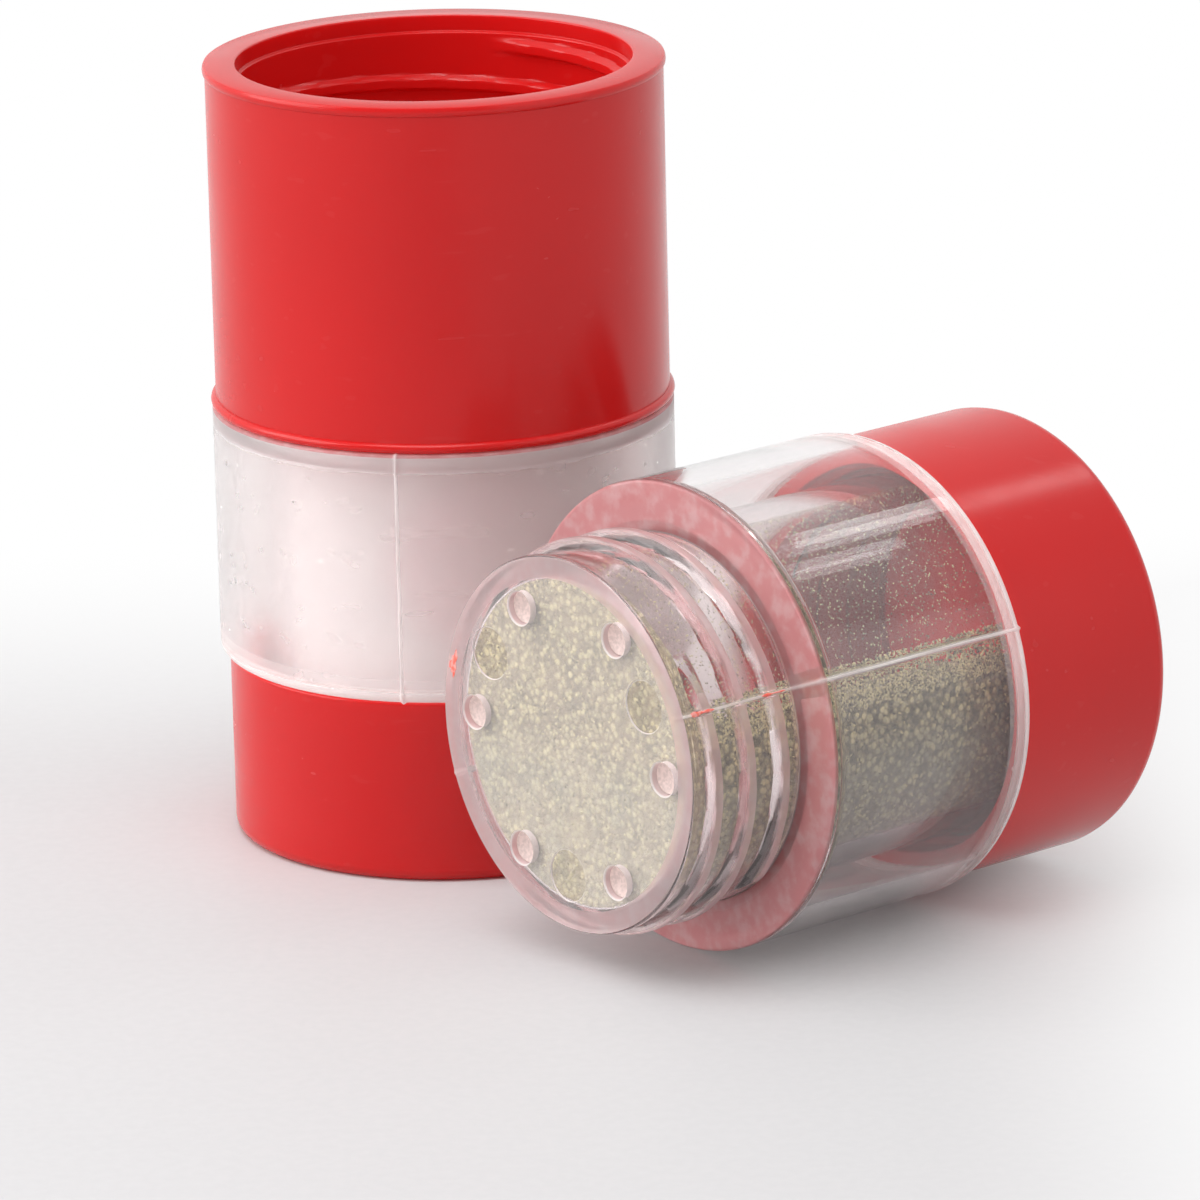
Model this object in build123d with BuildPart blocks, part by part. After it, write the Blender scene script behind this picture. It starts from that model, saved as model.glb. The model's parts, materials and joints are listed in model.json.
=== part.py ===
from build123d import *
from math import cos, sin, radians
import os

os.makedirs("parts", exist_ok=True)

# ---------------------------------------------------------------- sizes, mm
# clear half: an outer shell and an inner tube joined by a flange
shell_radius = 20.0
shell_wall = 1.8
shell_length = 22.1
shell_rear_round = 1.0
shell_front_round = 0.3
flange_thickness = 1.8
tube_wall = 1.65

# neck at the sifter end
neck_length = 11.7
neck_step = 4.35
neck_land_height = 0.3
neck_land_length = 0.7
neck_land_slope = 0.2
neck_edge_round = 0.25
sifter_thickness = 1.3

# sifter plate
sifter_hole_radius = 1.4
sifter_hole_inset = 2.0
sifter_hole_count = 6
sifter_hole_turn = 38
ejector_mark_radius = 2.2
ejector_mark_inset = 2.7
ejector_mark_depth = 0.12
ejector_mark_count = 3
ejector_mark_turn = 8

# one thread serves every joint, right handed
thread_pitch = 3.6
thread_height = 0.9
thread_root_width = 1.6
thread_crest_width = 0.8
thread_clearance = 0.2
socket_thread_height = 0.6
socket_root_width = 1.5
socket_crest_width = 0.75
bite = 0.25
neck_thread_lead = 1.7
neck_thread_tail = 1.85
neck_thread_angle = 283.2
rear_thread_lead = 1.5
rear_thread_tail = 2.4
rear_thread_angle = 60.0
collar_thread_lead = 1.0
collar_thread_tail = 0.9
cap_thread_lead = 1.2
cap_thread_tail = 1.1

# coupling collar
collar_height = 29.9
collar_inset = 0.32
bead_radius = 0.42
bead_height = 0.85
mouth_clearance = 0.3
mouth_length = 1.5
seal_thickness = 1.2
seal_clearance = 0.35

# end caps
cap_height = 16.1
cap_inset = 0.8
cap_floor = 2.0
cap_foot_round = 1.0
cap_rim_round = 0.3
liner_thickness = 1.2

# contents
fill_clearance = 0.1
salt_depth = 40.8
pepper_level = -1.4
pepper_tilt = 20.0

# where the second half lies: its heading, the gap between the shells, and how far
# its neck face reaches past the point where the shells are nearest
lying_heading = 39.81
lying_gap = 1.11
lying_reach = 21.02
lying_spin = 159.2
standing_spin = -101.1

# ------------------------------------------------------------ worked sizes
neck_core_radius = shell_radius - neck_step
neck_land_radius = neck_core_radius + neck_land_height
tube_radius = neck_core_radius
bore_radius = tube_radius - tube_wall
sifter_hole_circle = bore_radius - sifter_hole_inset
ejector_mark_circle = bore_radius - ejector_mark_inset
collar_radius = shell_radius - collar_inset
cap_radius = shell_radius - cap_inset
rear_face = cap_height
flange_face = rear_face + shell_length
neck_face = flange_face + neck_length
tube_end = cap_floor + liner_thickness
thread_radius = neck_core_radius + thread_height
socket_radius = thread_radius + thread_clearance
mouth_radius = socket_radius + mouth_clearance
collar_top = flange_face + collar_height
socket_depth = neck_length + seal_thickness
seal_radius = socket_radius - socket_thread_height - seal_clearance
half_turn = thread_pitch / 2

# sifter thread runs from near the flange up to near the neck face
neck_thread_start = flange_face + neck_thread_lead
neck_thread_end = neck_face - neck_thread_tail
# rear thread runs from near the open end up to just under the shell
rear_thread_start = tube_end + rear_thread_lead
rear_thread_end = rear_face - rear_thread_tail


# ----------------------------------------------------------------- threads
def ridge(radius, outward, low, high, angle, root_width, crest_width, height):
    """One helical ridge on a wall, its root sunk by the bite so that it fuses."""
    way = 1 if outward else -1
    foot = radius - way * bite
    tip = radius + way * height
    with BuildPart() as made:
        with BuildLine() as path:
            Helix(thread_pitch, high - low, radius, center=(0, 0, low))
        with BuildSketch(Plane(origin=(0, 0, low), x_dir=(1, 0, 0), z_dir=(0, -1, 0))):
            with BuildLine():
                Polyline(
                    (foot, -root_width / 2),
                    (tip, -crest_width / 2),
                    (tip, crest_width / 2),
                    (foot, root_width / 2),
                    close=True,
                )
            make_face()
        sweep(path=path.line, is_frenet=True)
    return made.part.rotate(Axis.Z, angle)


def neck_thread():
    return ridge(
        neck_core_radius,
        True,
        neck_thread_start,
        neck_thread_end,
        neck_thread_angle,
        thread_root_width,
        thread_crest_width,
        thread_height,
    )


def rear_thread():
    return ridge(
        neck_core_radius,
        True,
        rear_thread_start,
        rear_thread_end,
        rear_thread_angle,
        thread_root_width,
        thread_crest_width,
        thread_height,
    )


def angle_at(height, start, start_angle):
    """Angle of the ridge that fills the groove of another, at a given height."""
    return start_angle + 360 * (height - half_turn - start) / thread_pitch


def socket_thread(low, high, start, start_angle):
    return ridge(
        socket_radius,
        False,
        low,
        high,
        angle_at(low, start, start_angle),
        socket_root_width,
        socket_crest_width,
        socket_thread_height,
    )


# -------------------------------------------------------------- clear half
def clear_half():
    """Shell, flange, tube, neck and sifter plate in one moulding."""
    with BuildPart() as half:
        with BuildSketch(Plane.XZ):
            with BuildLine():
                Polyline(
                    (0, neck_face),
                    (neck_land_radius, neck_face),
                    (neck_land_radius, neck_face - neck_land_length),
                    (neck_core_radius, neck_face - neck_land_length - neck_land_slope),
                    (neck_core_radius, flange_face),
                    (shell_radius, flange_face),
                    (shell_radius, rear_face),
                    (shell_radius - shell_wall, rear_face),
                    (shell_radius - shell_wall, flange_face - flange_thickness),
                    (tube_radius, flange_face - flange_thickness),
                    (tube_radius, tube_end),
                    (bore_radius, tube_end),
                    (bore_radius, neck_face - sifter_thickness),
                    (0, neck_face - sifter_thickness),
                    close=True,
                )
            make_face()
        revolve(axis=Axis.Z)
        rims = half.edges().filter_by(GeomType.CIRCLE)
        outer = rims.filter_by(lambda e: abs(e.radius - shell_radius) < 0.01)
        fillet(outer.sort_by(Axis.Z)[0], shell_rear_round)
        rims = half.edges().filter_by(GeomType.CIRCLE)
        outer = rims.filter_by(lambda e: abs(e.radius - shell_radius) < 0.01)
        fillet(outer.sort_by(Axis.Z)[-1], shell_front_round)
        rims = half.edges().filter_by(GeomType.CIRCLE)
        lip = rims.filter_by(lambda e: abs(e.radius - neck_land_radius) < 0.01)
        fillet(lip.sort_by(Axis.Z)[-1], neck_edge_round)
        add(neck_thread())
        add(rear_thread())
        with BuildSketch(Plane.XY.offset(neck_face)):
            with PolarLocations(sifter_hole_circle, sifter_hole_count, start_angle=sifter_hole_turn):
                Circle(sifter_hole_radius)
        extrude(amount=-2 * sifter_thickness, mode=Mode.SUBTRACT)
        with BuildSketch(Plane.XY.offset(neck_face)):
            with PolarLocations(ejector_mark_circle, ejector_mark_count, start_angle=ejector_mark_turn):
                Circle(ejector_mark_radius)
        extrude(amount=-ejector_mark_depth, mode=Mode.SUBTRACT)
    return half.part


# ----------------------------------------------------------------- end cap
def end_cap():
    """Screw cap that closes the open rear end of a clear half."""
    with BuildPart() as cap:
        with BuildSketch(Plane.XY):
            Circle(cap_radius)
        extrude(amount=cap_height)
        fillet(cap.edges().sort_by(Axis.Z)[0], cap_foot_round)
        fillet(cap.edges().sort_by(Axis.Z)[-1], cap_rim_round)
        with BuildSketch(Plane.XY.offset(cap_floor)):
            Circle(socket_radius)
        extrude(amount=cap_height, mode=Mode.SUBTRACT)
        add(
            socket_thread(
                tube_end + cap_thread_lead,
                cap_height - cap_thread_tail,
                rear_thread_start,
                rear_thread_angle,
            )
        )
    return cap.part


def disc(radius, thickness, height):
    with BuildPart() as made:
        with BuildSketch(Plane.XY.offset(height)):
            Circle(radius)
        extrude(amount=thickness)
    return made.part


# ------------------------------------------------------- placing the halves
standing = Location((0, 0, 0), (0, 0, standing_spin))
heading = Vector(cos(radians(lying_heading)), sin(radians(lying_heading)), 0)
side = Vector(0, 0, 1).cross(heading)
lying_face = side * -(2 * shell_radius + lying_gap) - heading * lying_reach
lying_face += Vector(0, 0, shell_radius)
lying_foot = lying_face + heading * neck_face
spin = radians(lying_spin)
seam = side * cos(spin) + Vector(0, 0, 1) * sin(spin)
lying = Plane(origin=lying_foot, x_dir=seam, z_dir=-heading).location

# the pepper has slid against the near wall: its surface tilts about the tube's axis
tilt = radians(pepper_tilt)
pepper_surface = Plane(
    origin=lying_foot + Vector(0, 0, pepper_level),
    x_dir=heading,
    z_dir=Vector(0, 0, 1) * cos(tilt) + side * sin(tilt),
)

# -------------------------------------------------------------- salt, standing
with BuildPart() as salt_base_cap:
    with Locations(standing):
        add(end_cap())
salt_base_cap.part.label = "salt_base_cap"
export_step(salt_base_cap.part, "parts/salt_base_cap.step")

with BuildPart() as salt_cap_liner:
    add(disc(seal_radius, liner_thickness, cap_floor))
salt_cap_liner.part.label = "salt_cap_liner"
export_step(salt_cap_liner.part, "parts/salt_cap_liner.step")

with BuildPart() as salt_body:
    with Locations(standing):
        add(clear_half())
salt_body.part.label = "salt_body"
export_step(salt_body.part, "parts/salt_body.step")

with BuildPart() as salt_fill:
    add(disc(bore_radius - fill_clearance, salt_depth, tube_end))
salt_fill.part.label = "salt_fill"
export_step(salt_fill.part, "parts/salt_fill.step")


# -------------------------------------------------------------------- collar
def collar_shape():
    """Double ended socket with a web in the middle and a bead at each end."""
    middle = flange_face + collar_height / 2
    with BuildPart() as collar:
        with BuildSketch(Plane.XY.offset(flange_face)):
            Circle(collar_radius)
        extrude(amount=collar_height)
        with BuildSketch(Plane.XZ):
            for edge in (flange_face + bead_height / 2, collar_top - bead_height / 2):
                with Locations((collar_radius, edge)):
                    Ellipse(bead_radius, bead_height / 2)
        revolve(axis=Axis.Z)
        for foot, way in ((flange_face, 1), (collar_top, -1)):
            with BuildSketch(Plane.XY.offset(foot)):
                Circle(socket_radius)
            extrude(amount=way * socket_depth, mode=Mode.SUBTRACT)
            with BuildSketch(Plane.XY.offset(foot)):
                Circle(mouth_radius)
            extrude(amount=way * mouth_length, mode=Mode.SUBTRACT)
        lower = socket_thread(
            flange_face + mouth_length + collar_thread_lead,
            neck_face - collar_thread_tail,
            neck_thread_start,
            neck_thread_angle,
        )
        add(lower)
        add(lower.rotate(Axis((0, 0, middle), (1, 0, 0)), 180))
    return collar.part


with BuildPart() as coupling_collar:
    with Locations(standing):
        add(collar_shape())
coupling_collar.part.label = "coupling_collar"
export_step(coupling_collar.part, "parts/coupling_collar.step")

with BuildPart() as collar_lower_seal:
    add(disc(seal_radius, seal_thickness, neck_face))
collar_lower_seal.part.label = "collar_lower_seal"
export_step(collar_lower_seal.part, "parts/collar_lower_seal.step")

with BuildPart() as collar_upper_seal:
    add(disc(seal_radius, seal_thickness, collar_top - socket_depth))
collar_upper_seal.part.label = "collar_upper_seal"
export_step(collar_upper_seal.part, "parts/collar_upper_seal.step")

# -------------------------------------------------------------- pepper, lying
with BuildPart() as pepper_body:
    with Locations(lying):
        add(clear_half())
pepper_body.part.label = "pepper_body"
export_step(pepper_body.part, "parts/pepper_body.step")

with BuildPart() as pepper_end_cap:
    with Locations(lying):
        add(end_cap())
pepper_end_cap.part.label = "pepper_end_cap"
export_step(pepper_end_cap.part, "parts/pepper_end_cap.step")

with BuildPart() as pepper_cap_liner:
    with Locations(lying):
        add(disc(seal_radius, liner_thickness, cap_floor))
pepper_cap_liner.part.label = "pepper_cap_liner"
export_step(pepper_cap_liner.part, "parts/pepper_cap_liner.step")

with BuildPart() as pepper_fill:
    depth = neck_face - sifter_thickness - tube_end
    with Locations(lying):
        add(disc(bore_radius - fill_clearance, depth, tube_end))
    with BuildSketch(pepper_surface):
        Circle(neck_face)
    extrude(amount=2 * shell_radius, mode=Mode.SUBTRACT)
pepper_fill.part.label = "pepper_fill"
export_step(pepper_fill.part, "parts/pepper_fill.step")
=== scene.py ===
"""Two-ended travel salt and pepper shaker: clear threaded halves, red end caps, red coupling collar."""

import json
from math import asin, cos, pi, radians, sin, sqrt

import bpy
import numpy as np
from bpy.props import FloatProperty, FloatVectorProperty, IntProperty, PointerProperty
from mathutils import Matrix, Vector


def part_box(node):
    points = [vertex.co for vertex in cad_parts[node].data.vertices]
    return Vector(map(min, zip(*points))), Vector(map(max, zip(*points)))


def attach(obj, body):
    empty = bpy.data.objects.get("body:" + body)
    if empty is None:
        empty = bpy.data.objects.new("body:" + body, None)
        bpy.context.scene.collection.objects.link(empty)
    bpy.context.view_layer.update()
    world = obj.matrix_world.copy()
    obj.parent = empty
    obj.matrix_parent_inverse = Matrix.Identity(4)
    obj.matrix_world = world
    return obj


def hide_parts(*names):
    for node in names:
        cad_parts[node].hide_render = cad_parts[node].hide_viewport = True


bl_info = {
    "name": "Travel Salt and Pepper Shaker",
    "version": (1, 0, 0),
    "blender": (4, 5, 0),
    "location": "View3D > Sidebar > Shaker",
    "description": "Builds a two-ended salt and pepper shaker around its packed CAD frame",
    "category": "Object",
}

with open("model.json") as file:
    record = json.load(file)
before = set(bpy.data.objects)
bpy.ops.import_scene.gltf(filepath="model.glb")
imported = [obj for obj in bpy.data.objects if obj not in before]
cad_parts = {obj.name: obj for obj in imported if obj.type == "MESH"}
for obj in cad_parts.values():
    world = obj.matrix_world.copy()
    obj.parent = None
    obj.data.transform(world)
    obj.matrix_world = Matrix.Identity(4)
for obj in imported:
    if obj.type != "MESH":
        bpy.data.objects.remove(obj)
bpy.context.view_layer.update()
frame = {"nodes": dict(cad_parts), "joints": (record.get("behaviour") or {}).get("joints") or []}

MM = 0.001


# -------------------- places from the frame
def joint(name):
    return next(j for j in frame["joints"] if j["name"] == name)


REAR_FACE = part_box("salt_base_cap")[1].z
FLANGE_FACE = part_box("coupling_collar")[0].z
COLLAR_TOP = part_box("coupling_collar")[1].z
NECK_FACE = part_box("collar_lower_seal")[0].z
TUBE_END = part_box("salt_cap_liner")[1].z
CAP_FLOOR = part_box("salt_cap_liner")[0].z
SEAL_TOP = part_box("collar_lower_seal")[1].z
WEB_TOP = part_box("collar_upper_seal")[0].z
SHELL_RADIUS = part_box("pepper_body")[1].z / 2
SALT_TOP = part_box("salt_fill")[1].z

LYING_AXIS = Vector(joint("pepper_cap_turn")["axis"])
LYING_FOOT = Vector(joint("pepper_cap_turn")["pos_m"])
LYING_SIDE = Vector((0, 0, 1)).cross(LYING_AXIS)
LYING_FACE = LYING_FOOT - LYING_AXIS * NECK_FACE


# -------------------- sizes and colours
def length(name, text, mm):
    return FloatProperty(name=name, description=text, default=mm * MM, unit="LENGTH", precision=5)


def angle(name, text, value):
    return FloatProperty(name=name, description=text, default=value, subtype="ANGLE")


def turn(name, text, degrees):
    return angle(name, text, radians(degrees))


def count(name, text, number):
    return IntProperty(name=name, description=text, default=number, min=1)


def plain(name, text, number):
    return FloatProperty(name=name, description=text, default=number)


def linear(value):
    value = value / 255
    return value / 12.92 if value <= 0.04045 else ((value + 0.055) / 1.055) ** 2.4


def colour(name, text, red, green, blue):
    values = (linear(red), linear(green), linear(blue))
    return FloatVectorProperty(
        name=name, description=text, subtype="COLOR", size=3, min=0, max=1, default=values
    )


class ShakerSizes(bpy.types.PropertyGroup):
    shell_wall: length("Shell wall", "Thickness of the clear outer shell", 1.8)
    shell_rear_round: length("Shell rear round", "Edge radius where the shell meets the cap", 1.0)
    shell_front_round: length("Shell front round", "Edge radius at the flange", 0.3)
    flange: length("Flange", "Thickness of the plate between neck and shell", 1.8)
    tube_radius: length("Tube radius", "Outside of the inner tube and of the neck", 15.65)
    bore_radius: length("Bore radius", "Inside of the tube", 14.0)
    land_radius: length("Land radius", "Plain rim at the neck face", 15.95)
    land_length: length("Land length", "Length of the plain rim", 0.7)
    plate: length("Sifter plate", "Thickness of the sifter plate", 1.3)
    hole_radius: length("Sifter hole", "Radius of one sifter hole", 1.4)
    hole_circle: length("Hole circle", "Radius of the circle that the holes stand on", 12.0)
    hole_turn: turn("Hole turn", "Turn of the first sifter hole from the parting line", 38)
    holes: count("Sifter holes", "How many holes the sifter plate has", 6)
    mark_radius: length("Ejector mark", "Radius of one ejector pin mark", 2.2)
    mark_circle: length("Mark circle", "Radius of the circle that the marks stand on", 11.3)
    mark_depth: length("Mark depth", "Depth of an ejector pin mark", 0.12)
    mark_turn: turn("Mark turn", "Turn of the first mark from the parting line", 8)
    marks: count("Ejector marks", "How many ejector pin marks there are", 3)
    flash_height: length("Flash height", "Height of the flash along the parting line", 0.14)
    flash_width: length("Flash width", "Half width of that flash", 0.18)
    pitch: length("Thread pitch", "Rise of the thread in one turn", 3.6)
    ridge_height: length("Neck ridge", "Height of the thread ridge on a neck", 0.9)
    ridge_root: length("Neck ridge root", "Width of that ridge at its root", 1.7)
    ridge_crest: length("Neck ridge crest", "Width of that ridge at its crest", 0.7)
    socket_radius: length("Socket radius", "Inside wall of the red sockets", 16.75)
    mouth_radius: length("Mouth radius", "Plain lead-in of the collar mouths", 17.05)
    mouth_length: length("Mouth length", "Length of that lead-in", 1.5)
    socket_ridge: length("Socket ridge", "Height of the ridge in a socket", 0.6)
    socket_root: length("Socket ridge root", "Width of that ridge at its root", 1.6)
    socket_crest: length("Socket ridge crest", "Width of that ridge at its crest", 0.65)
    collar_radius: length("Collar radius", "Outside of the collar between its beads", 19.68)
    bead_reach: length("Bead reach", "How far a bead stands proud", 0.42)
    bead_height: length("Bead height", "Height of a bead along the collar", 0.85)
    cap_radius: length("Cap radius", "Outside of an end cap", 19.2)
    cap_foot_round: length("Cap foot round", "Edge radius at the closed end of a cap", 1.0)
    cap_rim_round: length("Cap rim round", "Edge radius at the open end of a cap", 0.3)
    standing_turn: turn("Standing turn", "Turn of the standing parts' parting line", -101.1)
    lying_turn: turn("Lying turn", "Turn of the lying half's parting line", 159.2)
    pepper_level: length("Pepper level", "Height of the pepper over the lying half's axis", -1.4)
    pepper_tilt: turn("Pepper tilt", "Slope of the pepper, higher at the near wall", 20)
    pepper_dip: length("Pepper dip", "How much lower the pepper is at the cap", 0.8)
    fill_gap: length("Fill gap", "Air between the contents and the bore", 0.15)
    flake: length("Pepper flake", "Length of a coarse pepper flake", 0.4)
    dust: length("Pepper dust", "Length of a dust speck on the tube wall", 0.16)


class ShakerColours(bpy.types.PropertyGroup):
    red: colour("Red", "Red moulded plastic", 202, 24, 24)
    rim: colour("Rim", "Pale tone of rubbed red edges", 226, 110, 110)
    clear: colour("Clear", "Clear moulded plastic", 250, 246, 246)
    # partly painted light: this pink is rub, and also red light from the caps and collar seen through the
    # clear plastic
    rubbed: colour("Rubbed", "Clear plastic that red sockets rub on", 216, 140, 142)
    # milk also paints the bright white ring at the shell's rear edge, a painted highlight
    milk: colour("Milk", "Crazed and milky edges of the clear plastic", 244, 234, 232)
    seal: colour("Seal", "Soft red sealing discs", 214, 38, 40)
    salt: colour("Salt", "Packed salt", 240, 240, 240)
    # painted light: pink bounce light from the red parts, laid on the salt's shaded side
    painted_red_bounce: colour("Blush", "Pink cast on the salt", 240, 206, 210)
    pepper_light: colour("Light pepper", "Husk of ground pepper", 220, 212, 160)
    pepper_mid: colour("Middle pepper", "Body of ground pepper", 158, 156, 122)
    pepper_dark: colour("Dark pepper", "Skin of ground pepper", 54, 49, 36)
    pepper_powder: colour("Pepper powder", "Grey powder low in the pepper", 164, 172, 158)
    pepper_front: colour("Front powder", "Pale powder behind the sifter plate", 190, 176, 148)
    # the pink in this tone is a painted red reflection of the red parts seen in the holes
    clog: colour("Clog", "Fine powder packed in the sifter holes", 214, 192, 186)
    smear: colour("Smear", "Red rubbed onto the clear neck", 236, 104, 88)
    floor: colour("Floor", "Pale table", 206, 205, 206)


class ShakerStage(bpy.types.PropertyGroup):
    camera_x: length("Camera x", "Place of the camera across the view", 13.171)
    camera_y: length("Camera y", "Place of the camera along the view", -700.0)
    camera_z: length("Camera z", "Height of the camera", 221.621)
    camera_pitch: angle("Camera pitch", "How far the camera looks down", 0.2813)
    camera_roll: angle("Camera roll", "Turn of the camera about its view", -0.0232)
    camera_lens: plain("Camera lens", "Focal length in millimetres on a 36 mm sensor", 250.43)
    key_power: plain("Key power", "Watts of the left lamp", 5.6)
    rear_power: plain("Rear power", "Watts of the lamp behind on the right", 0.16)
    top_power: plain("Top power", "Watts of the overhead lamp", 3.4)
    fill_power: plain("Fill power", "Watts of the lamp on the right", 1.2)
    world_strength: plain("World strength", "Strength of the surrounding light", 0.52)


def sizes():
    return bpy.context.scene.shaker_sizes


# -------------------- node helpers
SOCKETS = {float: "NodeSocketFloat", int: "NodeSocketInt"}


class Nodes:
    """Adds nodes to one tree and joins them, for materials and for geometry."""

    def __init__(self, tree):
        self.tree = tree
        self.where = None

    def put(self, socket, value):
        if isinstance(value, bpy.types.NodeSocket):
            self.tree.links.new(value, socket)
        else:
            socket.default_value = value

    def add(self, kind, inputs=None, **settings):
        node = self.tree.nodes.new(kind)
        for name, value in settings.items():
            setattr(node, name, value)
        for key, value in (inputs or {}).items():
            self.put(node.inputs[key], value)
        return node

    def get(self, kind, inputs=None, **settings):
        """Adds a node and returns its first output."""
        return self.add(kind, inputs, **settings).outputs[0]

    def math(self, operation, *values):
        return self.get("ShaderNodeMath", dict(enumerate(values)), operation=operation)

    def chain(self, operation, first, *others):
        for other in others:
            first = self.math(operation, first, other)
        return first

    def times(self, *values):
        return self.chain("MULTIPLY", *values)

    def plus(self, *values):
        return self.chain("ADD", *values)

    def most(self, *values):
        return self.chain("MAXIMUM", *values)

    def less(self, value, taken):
        return self.math("SUBTRACT", value, taken)

    def vector(self, operation, *values):
        inputs = {0: values[0], 3: values[1]} if operation == "SCALE" else dict(enumerate(values))
        node = self.add("ShaderNodeVectorMath", inputs, operation=operation)
        return node.outputs["Value" if operation in ("LENGTH", "DOT_PRODUCT") else "Vector"]

    def split(self, value):
        return self.add("ShaderNodeSeparateXYZ", {0: value}).outputs

    def join(self, x=0.0, y=0.0, z=0.0):
        return self.get("ShaderNodeCombineXYZ", {0: x, 1: y, 2: z})

    def ramp(self, value, low, high, to_low=0.0, to_high=1.0, kind="SMOOTHSTEP"):
        inputs = {0: value, 1: low, 2: high, 3: to_low, 4: to_high}
        return self.get("ShaderNodeMapRange", inputs, interpolation_type=kind, clamp=True)

    def spread(self, share, low, high):
        """Spreads a share evenly over a range."""
        return self.ramp(share, 0.0, 1.0, low, high, "LINEAR")

    def mix(self, share, a, b):
        return self.add("ShaderNodeMix", {0: share, 6: a, 7: b}, data_type="RGBA").outputs[2]

    def blend(self, share, a, b):
        """Mixes the shaders of two nodes."""
        return self.get("ShaderNodeMixShader", {0: share, 1: a.outputs[0], 2: b.outputs[0]})

    def noise(self, scale, detail, where=None):
        inputs = {"Vector": where or self.where, "Scale": scale, "Detail": detail}
        return self.get("ShaderNodeTexNoise", inputs)

    def cells(self, scale, where=None):
        """Random cells: the distance from the middle of each, and its red and green tones."""
        made = self.add("ShaderNodeTexVoronoi", {"Vector": where or self.where, "Scale": scale}).outputs
        tones = self.add("ShaderNodeSeparateColor", {0: made["Color"]}).outputs
        return made["Distance"], tones[0], tones[1]

    def seen(self):
        """One for rays that look at a surface, nought for rays that only bring light."""
        path = self.add("ShaderNodeLightPath").outputs
        return self.most(path["Is Camera Ray"], path["Is Glossy Ray"], path["Is Transmission Ray"])


def group(kind, name, inputs, outputs):
    """A new node group: its helper, its inputs by name, and its output node.

    An input is given by its default, or by its kind of socket where it has none.
    """
    tree = bpy.data.node_groups.new(name, kind)
    for label, given in inputs.items():
        socket = SOCKETS.get(type(given), given)
        made = tree.interface.new_socket(label, in_out="INPUT", socket_type=socket)
        if socket != given:
            made.default_value = given
    for label, socket in outputs.items():
        tree.interface.new_socket(label, in_out="OUTPUT", socket_type=socket)
    nodes = Nodes(tree)
    start = nodes.add("NodeGroupInput")
    return nodes, start.outputs, nodes.add("NodeGroupOutput")


# -------------------- geometry trees
HOLE_SIDES = 48


def geometry_group(name, inputs):
    """A new geometry tree that takes a mesh and a material besides these inputs."""
    geometry = {"Geometry": "NodeSocketGeometry"}
    inputs = {**geometry, **inputs, "Material": "NodeSocketMaterial"}
    return group("GeometryNodeTree", name, inputs, geometry)


def finish_tree(nodes, mesh, given, end):
    """Ends a geometry tree with a plain mesh in its given material."""
    real = nodes.get("GeometryNodeRealizeInstances", {0: mesh})
    painted = nodes.get("GeometryNodeSetMaterial", {"Geometry": real, "Material": given["Material"]})
    nodes.put(end.inputs[0], painted)


def thread_tree():
    """Raises a helical ridge on a round wall of the mesh."""
    inputs = {
        "Wall Radius": 15.65 * MM,
        "Way": 1.0,
        "Pitch": 3.6 * MM,
        "Height": 0.9 * MM,
        "Root Width": 1.6 * MM,
        "Crest Width": 0.8 * MM,
        "Start": 0.0,
        "End": 10 * MM,
        "Start Angle": 0.0,
        "Run Out": 0.05,
    }
    nodes, given, end = geometry_group("Screw thread", inputs)
    x, y, z = nodes.split(nodes.get("GeometryNodeInputPosition"))
    flat = nodes.join(x, y)
    angle = nodes.less(nodes.math("ARCTAN2", y, x), given["Start Angle"])
    rise = nodes.math("DIVIDE", nodes.less(z, given["Start"]), given["Pitch"])
    phase = nodes.less(rise, nodes.math("DIVIDE", angle, 2 * pi))
    away = nodes.less(phase, nodes.math("ROUND", phase))
    along = nodes.less(rise, away)
    total = nodes.math("DIVIDE", nodes.less(given["End"], given["Start"]), given["Pitch"])
    gap = nodes.times(nodes.math("ABSOLUTE", away), given["Pitch"])
    half_root = nodes.times(given["Root Width"], 0.5)
    half_crest = nodes.times(given["Crest Width"], 0.5)
    shape = nodes.ramp(gap, half_crest, half_root, 1.0, 0.0)
    run_in = nodes.ramp(along, 0.0, given["Run Out"])
    run_out = nodes.ramp(nodes.less(total, along), 0.0, given["Run Out"])
    on_wall = nodes.math("COMPARE", nodes.vector("LENGTH", flat), given["Wall Radius"], 0.02 * MM)
    height = nodes.times(given["Height"], given["Way"], shape, run_in, run_out, on_wall)
    offset = nodes.vector("SCALE", nodes.vector("NORMALIZE", flat), height)
    moved = nodes.get("GeometryNodeSetPosition", {"Geometry": given["Geometry"], "Offset": offset})
    finish_tree(nodes, moved, given, end)


def set_around(nodes, given, piece, height=0.0):
    """Instances of a piece around the given circle, at this height."""
    ring = nodes.get("GeometryNodeMeshCircle", {"Vertices": given["Count"], "Radius": given["Circle"]})
    moved = {"Translation": nodes.join(z=height), "Rotation": nodes.join(z=given["Turn"])}
    spots = nodes.get("GeometryNodeTransform", {"Geometry": ring, **moved})
    return nodes.get("GeometryNodeInstanceOnPoints", {"Points": spots, "Instance": piece})


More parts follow.
